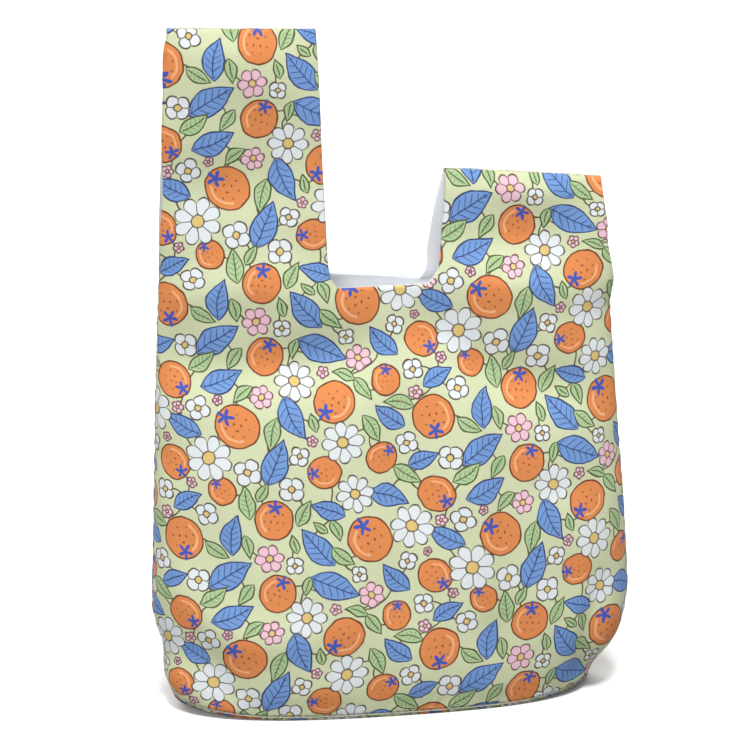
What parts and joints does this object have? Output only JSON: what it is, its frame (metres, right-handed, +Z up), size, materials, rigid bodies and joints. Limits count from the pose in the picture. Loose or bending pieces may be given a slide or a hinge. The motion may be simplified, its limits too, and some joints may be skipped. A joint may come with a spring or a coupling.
{
  "type": "knot bag",
  "caption": "Upright cloth wrist bag on an oval base, lined, with a long handle loop on one side and a short one on the other.",
  "frame": {"origin": "on the surface that the bag stands on, under the middle of its outline", "axes": "+X to the viewer's right, towards the short handle, -Y out of the front, +Z up"},
  "size_m": [0.2588, 0.0847, 0.37],
  "materials": {
    "printed_cotton": "matte woven cotton printed with fruit, leaves and flowers on pale yellow green",
    "lining_cotton": "matte thin woven cotton, cool white",
    "interlining_felt": "soft bonded felt, off-white",
    "sewing_thread": "spun thread, pale yellow green"
  },
  "bodies": {
    "bag": {"shell_front": "printed_cotton", "shell_back": "printed_cotton", "shell_base": "printed_cotton", "interlining_front": "interlining_felt", "interlining_back": "interlining_felt", "interlining_base": "interlining_felt", "lining_front": "lining_cotton", "lining_back": "lining_cotton", "lining_base": "lining_cotton", "base_seam": "sewing_thread", "side_seam_left": "sewing_thread", "side_seam_right": "sewing_thread", "long_handle_shell_front_bend": "printed_cotton", "long_handle_shell_back_bend": "printed_cotton", "long_handle_interlining_front_bend": "interlining_felt", "long_handle_interlining_back_bend": "interlining_felt", "long_handle_lining_front_bend": "lining_cotton", "long_handle_lining_back_bend": "lining_cotton", "short_handle_shell_front_bend": "printed_cotton", "short_handle_shell_back_bend": "printed_cotton", "short_handle_interlining_front_bend": "interlining_felt", "short_handle_interlining_back_bend": "interlining_felt", "short_handle_lining_front_bend": "lining_cotton", "short_handle_lining_back_bend": "lining_cotton"},
    "long_handle": {"long_handle_shell_front": "printed_cotton", "long_handle_shell_back": "printed_cotton", "long_handle_interlining_front": "interlining_felt", "long_handle_interlining_back": "interlining_felt", "long_handle_lining_front": "lining_cotton", "long_handle_lining_back": "lining_cotton", "long_handle_top_seam": "sewing_thread"},
    "short_handle": {"short_handle_shell_front": "printed_cotton", "short_handle_shell_back": "printed_cotton", "short_handle_interlining_front": "interlining_felt", "short_handle_interlining_back": "interlining_felt", "short_handle_lining_front": "lining_cotton", "short_handle_lining_back": "lining_cotton", "short_handle_top_seam": "sewing_thread"}
  },
  "joints": [
    {"name": "long_handle_fold", "type": "hinge", "parent": "bag", "child": "long_handle", "pos_m": [0, 0, 0.249], "axis": [1, 0, 0], "range_deg": [-90, 90], "stiffness_Nm_per_rad": 0.04, "deforming": ["long_handle_shell_front_bend", "long_handle_shell_back_bend", "long_handle_interlining_front_bend", "long_handle_interlining_back_bend", "long_handle_lining_front_bend", "long_handle_lining_back_bend"]},
    {"name": "short_handle_fold", "type": "hinge", "parent": "bag", "child": "short_handle", "pos_m": [0, 0, 0.249], "axis": [1, 0, 0], "range_deg": [-90, 90], "stiffness_Nm_per_rad": 0.03, "deforming": ["short_handle_shell_front_bend", "short_handle_shell_back_bend", "short_handle_interlining_front_bend", "short_handle_interlining_back_bend", "short_handle_lining_front_bend", "short_handle_lining_back_bend"]}
  ]
}
